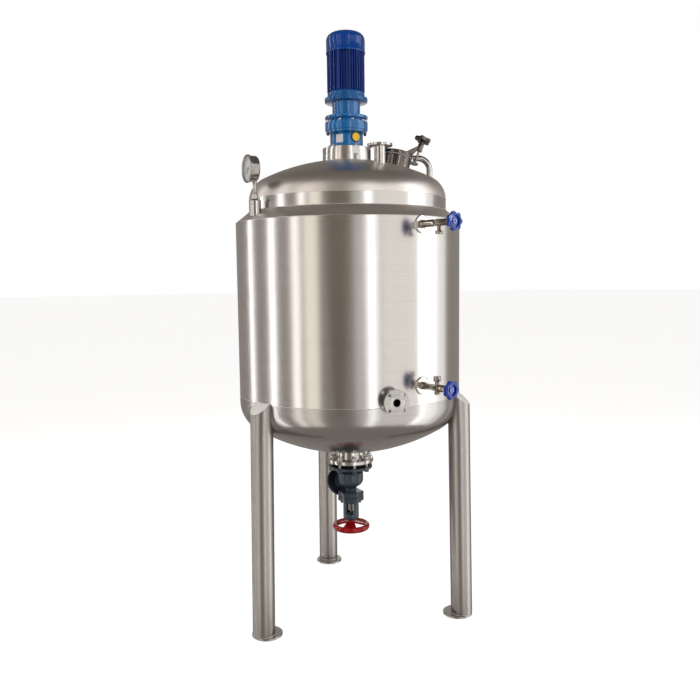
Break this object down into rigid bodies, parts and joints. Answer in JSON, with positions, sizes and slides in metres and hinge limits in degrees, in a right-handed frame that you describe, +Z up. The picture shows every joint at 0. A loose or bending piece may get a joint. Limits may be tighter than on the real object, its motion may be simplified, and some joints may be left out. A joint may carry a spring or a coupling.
{
  "type": "mixing tank",
  "caption": "Upright jacketed stainless mixing tank on tube legs, with a top gear motor and agitator, a hinged manway, a gauge, level cocks and a bottom outlet valve.",
  "frame": {"origin": "on the floor, at the middle of the object's overall length and width; the tank's axis stands 49.0 mm behind it", "axes": "+Z up along the tank; the side valves and the side nozzle are towards -Y, the manway towards +X, one leg towards +Y"},
  "size_m": [1.2019, 1.4657, 3.103],
  "materials": {
    "agitator": "satin brushed stainless",
    "clamp_screw": "satin brushed stainless",
    "fan_cowl": "glossy blue painted sheet",
    "gauge_case": "polished stainless",
    "gauge_dial": "pale grey printed dial",
    "gauge_socket": "polished stainless",
    "gauge_stem": "satin brushed stainless",
    "gearbox_housing": "glossy blue paint over iron",
    "gearbox_neck": "glossy blue paint over iron",
    "jacket_bottom_head": "satin brushed stainless",
    "jacket_shell": "satin brushed stainless",
    "jacket_shoulder": "satin brushed stainless",
    "left_leg": "satin brushed stainless",
    "left_pad": "satin brushed stainless",
    "lower_cock_body": "polished stainless",
    "lower_cock_plate": "polished stainless",
    "lower_handwheel": "deep blue enamel",
    "manway_gasket": "pale silicone",
    "manway_lid": "polished stainless",
    "manway_neck": "polished stainless",
    "motor_body": "navy paint over cast aluminium",
    "motor_end_shield": "navy paint over cast aluminium",
    "motor_ring": "polished stainless",
    "outlet_gasket": "matte black",
    "outlet_neck": "polished stainless",
    "rear_leg": "satin brushed stainless",
    "rear_pad": "satin brushed stainless",
    "red_handwheel": "glossy red enamel",
    "right_leg": "satin brushed stainless",
    "right_pad": "satin brushed stainless",
    "ring_gear_housing": "glossy blue paint over iron",
    "side_nozzle": "polished stainless",
    "star_handwheel": "polished stainless",
    "top_head": "satin brushed stainless",
    "top_nozzle": "polished stainless",
    "upper_cock_body": "polished stainless",
    "upper_cock_plate": "polished stainless",
    "upper_handwheel": "deep blue enamel",
    "valve_body": "blue grey cast, fine grain",
    "valve_bonnet": "blue grey cast, fine grain",
    "valve_side_flange": "near black cast flange",
    "valve_stem": "polished stainless",
    "valve_yoke": "blue grey cast, fine grain",
    "vent_pipe": "polished stainless",
    "vessel_bottom": "satin brushed stainless",
    "vessel_shell": "satin brushed stainless"
  },
  "bodies": {
    "tank": {"agitator": "agitator", "fan_cowl": "fan_cowl", "gauge_case": "gauge_case", "gauge_dial": "gauge_dial", "gauge_socket": "gauge_socket", "gauge_stem": "gauge_stem", "gearbox_housing": "gearbox_housing", "gearbox_neck": "gearbox_neck", "jacket_bottom_head": "jacket_bottom_head", "jacket_shell": "jacket_shell", "jacket_shoulder": "jacket_shoulder", "left_leg": "left_leg", "left_pad": "left_pad", "lower_cock_body": "lower_cock_body", "lower_cock_plate": "lower_cock_plate", "manway_gasket": "manway_gasket", "manway_neck": "manway_neck", "motor_body": "motor_body", "motor_end_shield": "motor_end_shield", "motor_ring": "motor_ring", "outlet_gasket": "outlet_gasket", "outlet_neck": "outlet_neck", "rear_leg": "rear_leg", "rear_pad": "rear_pad", "right_leg": "right_leg", "right_pad": "right_pad", "ring_gear_housing": "ring_gear_housing", "side_nozzle": "side_nozzle", "top_head": "top_head", "top_nozzle": "top_nozzle", "upper_cock_body": "upper_cock_body", "upper_cock_plate": "upper_cock_plate", "valve_body": "valve_body", "valve_bonnet": "valve_bonnet", "valve_side_flange": "valve_side_flange", "valve_yoke": "valve_yoke", "vent_pipe": "vent_pipe", "vessel_bottom": "vessel_bottom", "vessel_shell": "vessel_shell"},
    "manway_lid": {"manway_lid": "manway_lid"},
    "clamp": {"clamp_screw": "clamp_screw", "star_handwheel": "star_handwheel"},
    "upper_wheel": {"upper_handwheel": "upper_handwheel"},
    "lower_wheel": {"lower_handwheel": "lower_handwheel"},
    "outlet_wheel": {"red_handwheel": "red_handwheel", "valve_stem": "valve_stem"}
  },
  "joints": [
    {"name": "lid_hinge", "type": "hinge", "parent": "tank", "child": "manway_lid", "pos_m": [0.19707, 0.0767, 2.5134], "axis": [0.1392, -0.9903, 0], "range_deg": [0, 80]},
    {"name": "clamp_screw_turn", "type": "hinge", "parent": "manway_lid", "child": "clamp", "pos_m": [0.43771, 0.11052, 2.53516], "axis": [0.371, 0.0521, 0.9272], "continuous": true},
    {"name": "upper_wheel_turn", "type": "hinge", "parent": "tank", "child": "upper_wheel", "pos_m": [0.3138, -0.70858, 2.069], "axis": [0.3827, -0.9239, 0], "continuous": true},
    {"name": "lower_wheel_turn", "type": "hinge", "parent": "tank", "child": "lower_wheel", "pos_m": [0.30615, -0.6901, 1.29], "axis": [0.3827, -0.9239, 0], "continuous": true},
    {"name": "outlet_wheel_turn", "type": "hinge", "parent": "tank", "child": "outlet_wheel", "pos_m": [0, 0.049, 0.428], "axis": [0, 0, 1], "continuous": true}
  ]
}
